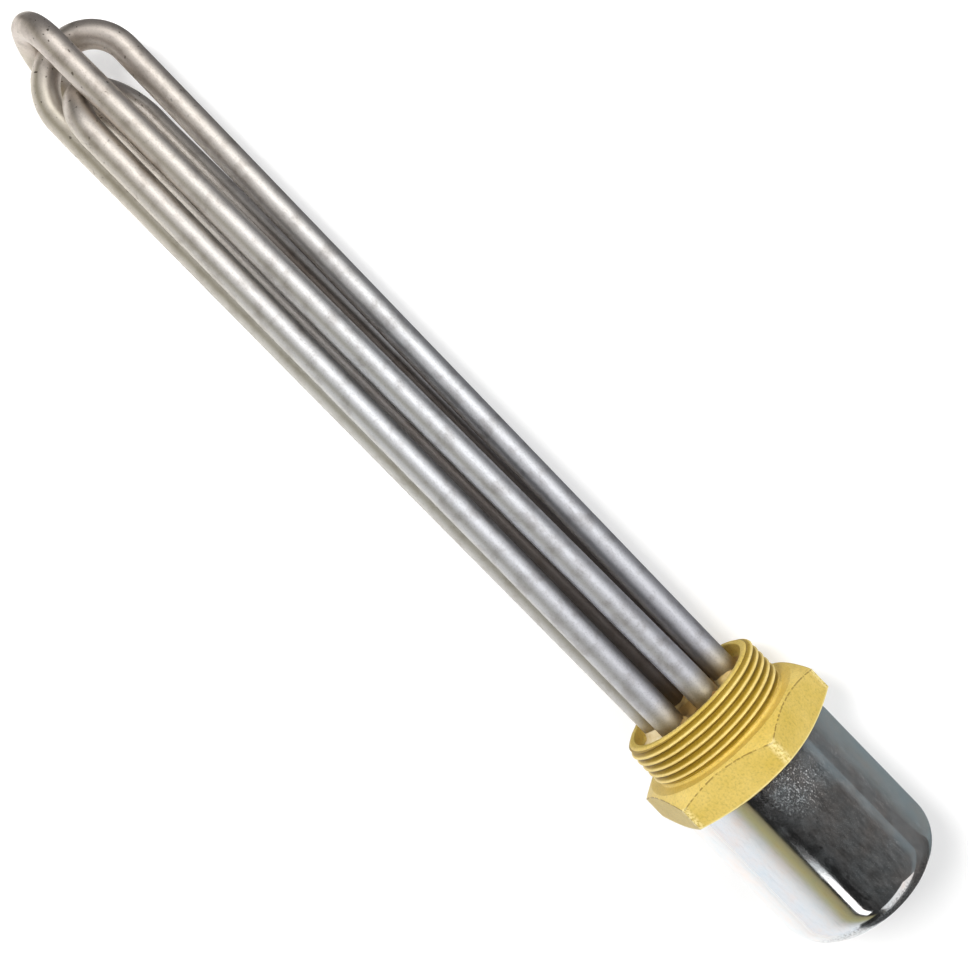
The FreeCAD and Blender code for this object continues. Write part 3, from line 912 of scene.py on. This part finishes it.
chrome = Finish("bright_plating")
haze = chrome.noise(90, 5, 0.65)
cloud = chrome.noise(1.0, 6, 0.75, chrome.stretched((130.0, 230.0, 230.0)), 0.4)
marks = chrome.noise(1.0, 4, 0.7, chrome.stretched((260.0, 900.0, 900.0)))
speckle = chrome.noise(2600, 4, 0.75, chrome.stretched((0.6, 1.0, 1.0)))
x, y = chrome.axes()[:2]
edge = chrome.calc("ADD", y, chrome.times(chrome.calc("SUBTRACT", cloud, 0.5), 0.02))
clouded = chrome.ramp(cloud, [(0.35, 0.35), (0.65, 1.0)])
hazed = chrome.times(chrome.fade(edge, *clear_side), clouded)
hazed = chrome.times(hazed, chrome.ramp(marks, [(0.35, 0.45), (0.6, 1.0)]))
near_stain = chrome.fade(chrome.away_from(stain_place), stain_radius, 0.0)
near_end = chrome.fade(x, *end_corner)
spotted = chrome.times(chrome.fade(speckle, 0.48, 0.72), near_stain)
dull = chrome.calc("ADD", chrome.times(hazed, 0.085), chrome.times(spotted, 0.2))
pitted = chrome.times(chrome.fade(speckle, 0.50, 0.56), near_end)
tint = chrome.ramp(haze, [(0.3, rgb(246, 236, 230)), (0.5, rgb(240, 240, 240)),
                          (0.7, rgb(230, 238, 242))])
tint = chrome.blend(0.15, tint, chrome.ramp(marks, [(0.3, 0.6), (0.5, 1.0)]), "MULTIPLY")
chrome.feed("Base Color", chrome.blend(chrome.times(pitted, 0.75), tint, rgb(70, 70, 78)))
chrome.feed("Metallic", chrome.calc("SUBTRACT", 1.0, dull))
rough = chrome.calc("ADD", chrome.times(spotted, 0.3), chrome.times(near_end, 0.12))
smooth = chrome.ramp(haze, [(0.4, 0.05), (0.7, 0.12)])
chrome.feed("Roughness", chrome.calc("ADD", rough, smooth))
chrome.feed("Normal", chrome.bump(marks, 0.00002, 0.2, chrome.bump(cloud, 0.0001, 0.1)))
paint(cap, chrome)

# %% [markdown]
# ### Small parts
# Zinc, sheet brass, ceramic, compound and rubber, for the pieces under and on the cap. The braze
# runs from pale flux to brown, by the number stored in "tone".

# %% Small finishes
# name, dark and bright tone, scale and height of the grain, metallic and roughness
small_looks = {
    "magnesia": ("pressed_magnesia", (225, 224, 216), (240, 240, 235), 900, 0.0001, 0.0, 0.9),
    "coil_on_core": ("coil_core", (110, 106, 100), (140, 136, 128), 900, 0.0001, 0.0, 0.7),
    "terminal_steel": ("turned_steel", (176, 174, 170), (206, 204, 200), 800, 0.00003, 1.0, 0.28),
    "bead_ceramic": ("bead_ceramic", (214, 206, 188), (232, 226, 210), 700, 0.00005, 0.0, 0.6),
    "seal_compound": ("seal_compound", (30, 24, 18), (60, 50, 38), 160, 0.0004, 0.0, 0.35),
    "zinc_plate": ("blue_zinc", (150, 162, 190), (206, 214, 230), 400, 0.00004, 1.0, 0.3),
    "link_brass": ("sheet_brass", (200, 166, 60), (232, 200, 92), 500, 0.00003, 1.0, 0.3),
    "grommet_rubber": ("inlet_rubber", (16, 16, 17), (34, 34, 36), 600, 0.00006, 0.0, 0.75),
}


def grained(name, dark, bright, scale, height, metallic, roughness):
    """A finish whose colour runs between two tones with a noise that also lifts the surface."""
    finish = Finish(name, Metallic=metallic, Roughness=roughness)
    pattern = finish.noise(scale, 4, 0.6)
    finish.feed("Base Color", finish.ramp(pattern, [(0.3, rgb(*dark)), (0.7, rgb(*bright))]))
    finish.feed("Normal", finish.bump(pattern, height, 0.5))
    return finish


small_finishes = {slot: grained(*look) for slot, look in small_looks.items()}
slots = {part["node"]: part["material_slot"] for part in frame["record"]["subparts"]}
for node, piece in nodes.items():
    if slots[node] in small_finishes:
        paint(piece, small_finishes[slots[node]])
for rod in rods:
    paint(rod, small_finishes["terminal_steel"])

flowed = Finish("flowed_braze", Metallic=0.15, Roughness=0.55)
lumpy = flowed.noise(420, 4, 0.6)
uneven = flowed.times(flowed.calc("SUBTRACT", lumpy, 0.5), 0.9)
tone = flowed.calc("ADD", flowed.stored("tone"), uneven)
flowed.feed("Base Color", flowed.ramp(tone, [(0.0, rgb(226, 212, 176)), (0.35, rgb(198, 172, 112)),
                                             (0.75, rgb(138, 100, 50)), (1.0, rgb(92, 62, 30))]))
flowed.feed("Normal", flowed.bump(lumpy, 0.0003, 0.6))
paint(braze, flowed)

# %% [markdown]
# ## Floor and light
# The heater lies on a pale table. It rests on one flat of its hexagon and, 250 mm away, on its
# lowest bend, so the table slopes by about two degrees in the heater's own frame. The table glows
# a little, as a lit table for photographing goods does, which keeps the shadows on it pale. It
# glows more strongly far from the heater, where the lamps reach it less.

# %% Floor
far_away = 3000
card_face = np.array([[0, 1, 2, 3]])
hex_rest = np.array([-front_slope * (across_flats / 2 - front_chamfer_radius), -across_flats / 2])


def lowest_slope():
    """The slope of the lowest line from the hexagon's front edge to a tube past the middle."""
    slopes = []
    for tube in tubes.values():
        points = np.array([point.co for point in tube.data.vertices], np.float32) / MM
        far = points[points[:, 0] > tip_reach / 2]
        slopes.append(((far[:, 2] - hex_rest[1]) / (far[:, 0] - hex_rest[0])).min())
    return min(slopes)


floor_slope = lowest_slope()
print("the table slopes by", round(float(np.degrees(np.arctan(floor_slope))), 2), "degrees")


def flat_card(name, corners, lift):
    """A four-cornered card that lies parallel to the table, a little above it, facing up."""
    x, y = np.array(corners, float).T
    height = hex_rest[1] + (x - hex_rest[0]) * floor_slope + lift
    return new_piece(name, np.stack([x, y, height], -1), card_face)


floor = flat_card("table_top", far_away * np.array([(-1, -1), (1, -1), (1, 1), (-1, 1)]), 0.0)
table = Finish("table_paint", Base_Color=(0.57, 0.57, 0.57, 1), Specular_IOR_Level=0.0,
               Roughness=0.9, Emission_Strength=1.0)
glow = table.ramp(table.away_from((0.0, 0.0, 0.0)), [(0.35, 0.48), (1.0, 0.86)])
table.feed("Emission Color", glow)
paint(floor, table)

# %% [markdown]
# The mirror-like parts need something dark to reflect on one side, or their edges would vanish
# against the white table. Dark cards lie on the table on that side, under the tubes, past the tips
# and behind the cap, and only reflections see them. The one beside the cap is a little blue, as
# is the cap's edge in the photograph. Two cards stand behind the cap: a pale one that whitens its
# rounded end, and a dark one next to it.

# %% Cards
card_lift = 0.6
card_fade = (0.022, 0.15)
past_tips = 2000


def glowing(card, strength):
    """Makes a card glow, reflect nothing and show only in reflections; gives its finish."""
    glow = Finish(card.name + "_paint", Base_Color=(0, 0, 0, 1), Specular_IOR_Level=0.0,
                  Emission_Color=(1, 1, 1, 1), Emission_Strength=strength)
    paint(card, glow)
    card.visible_camera = card.visible_diffuse = card.visible_shadow = False
    return glow


def reflected_card(name, corners, near, far=None):
    """A card just above the table, whose colour may change from near to far as it leaves the axis."""
    glow = glowing(flat_card(name, corners, card_lift), 1.0)
    away = glow.fade(glow.calc("ABSOLUTE", glow.axes()[1]), *card_fade)
    glow.feed("Emission Color", glow.blend(away, (*near, 1), (*(far or near), 1)))


def standing_card(name, x, across, up, radiance):
    """A card that stands square to the heater's axis."""
    (left, right), (low, high) = across, up
    corners = [(x, left, low), (x, right, low), (x, right, high), (x, left, high)]
    glowing(new_piece(name, corners, card_face), radiance)


reflected_card("grey_card", [(-6, -far_away), (past_tips, -far_away), (past_tips, -5), (-6, -5)],
               (0.17, 0.17, 0.18))
reflected_card("under_card", [(14, -5), (225, -5), (225, 45), (14, 45)],
               (0.05, 0.05, 0.05), (0.9, 0.9, 0.9))
reflected_card("tip_card", [(325, -5), (past_tips, -5), (past_tips, 260), (325, 14)],
               (0.13, 0.12, 0.11))
reflected_card("teal_card", [(-14, -18), (-100, -18), (-100, -far_away), (-14, -far_away)],
               (0.18, 0.215, 0.225), (0.10, 0.10, 0.10))
reflected_card("end_card", [(-100, 10), (-far_away, 1230), (-far_away, -far_away), (-100, -far_away)],
               (0.06, 0.06, 0.06), (0.09, 0.09, 0.09))
standing_card("end_glow", -1000, (-600, 20), (-20, 420), 0.85)
standing_card("end_dark", -1010, (60, 430), (-30, 330), 0.012)

# %% [markdown]
# A long soft lamp beside the tubes on the -Y side draws one highlight on each of them. A wider and
# weaker one above it fills the space round that highlight, and a third, low at the side, lights
# the tubes' edges. All three end before the place that the cap mirrors. The key lamp hangs past
# the tips and isn't seen in reflections: it lights the matt brass and throws the pale shadow. A
# narrow lamp far out gives the cap its bright streak. The cap's bands come from the room, a ramp
# by the angle round the heater's axis, in which 0 is overhead and dark, and 90 is the +Y side and
# white. The camera sees an even pale grey in its place.

# %% Lights
cool = (0.98, 0.99, 1.0)
warm = (1.0, 0.99, 0.97)
backdrop = (0.93, 0.93, 0.93, 1)


def soft_light(name, place, target, size, radiance, colour=(1, 1, 1)):
    """A rectangular lamp facing a target, in millimetres; its brightness is that of its own face."""
    data = bpy.data.lights.new(name, "AREA")
    data.shape = "RECTANGLE"
    data.size, data.size_y = size[0] * MM, size[1] * MM
    data.energy = radiance * np.pi * data.size * data.size_y
    data.color = colour
    lamp = bpy.data.objects.new(name, data)
    lamp.rotation_mode = "QUATERNION"
    lamp.rotation_quaternion = (Vector(target) - Vector(place)).to_track_quat("-Z", "Y")
    lamp.location = Vector(place) * MM
    bpy.context.collection.objects.link(lamp)
    print(name, "gives", round(data.energy, 1), "W")
    return lamp


# lamps in one plane hide each other from reflections, so each hangs at a height of its own
soft_light("wide_tube_lamp", (500, -780, 1040), (500, -780, 0), (1700, 2200), 0.82, cool)
soft_light("tube_lamp", (500, -870, 940), (500, 0, 0), (1700, 960), 1.6, cool)
soft_light("side_lamp", (450, -2000, 500), (450, 0, 500), (1700, 1000), 0.85, cool)
key = soft_light("key", (640, -60, 1100), (-20, 0, 0), (300, 300), 50.0, warm)
key.visible_glossy = False
streak = soft_light("streak", (-910, 270, 960), (-910, 270, 0), (880, 150), 1.7)
streak.visible_diffuse = False

room_bands = [
    (-180, (0.20, 0.25, 0.27)), (-84, (0.14, 0.16, 0.17)), (-76, (0.06, 0.06, 0.06)),
    (-40, (0.03, 0.03, 0.03)), (-18, (0.014, 0.014, 0.014)), (23, (0.014, 0.014, 0.014)),
    (26, (0.28, 0.25, 0.15)), (35, (0.40, 0.37, 0.19)), (41, (0.45, 0.44, 0.33)),
    (47, (0.60, 0.59, 0.57)), (59, (0.83, 0.84, 0.85)), (72, (0.90, 0.93, 0.97)),
    (180, (0.92, 0.95, 1.0)),
]
world = bpy.data.worlds.new("studio")
bpy.context.scene.world = world
world.use_nodes = True
room = Recipe(world.node_tree, "Generated")
y, z = room.axes()[1:]
turn = room.calc("MULTIPLY_ADD", room.calc("ARCTAN2", y, z), 1 / (2 * np.pi), 0.5)
bands = room.ramp(turn, [(0.5 + angle / 360, (*colour, 1)) for angle, colour in room_bands])
camera_ray = room.add("LightPath", {}).outputs["Is Camera Ray"]
seen = room.blend(camera_ray, bands, backdrop)
room.links.new(seen, room.nodes["Background"].inputs["Color"])
world.cycles_visibility.diffuse = False
bpy.context.scene.view_settings.view_transform = "Standard"
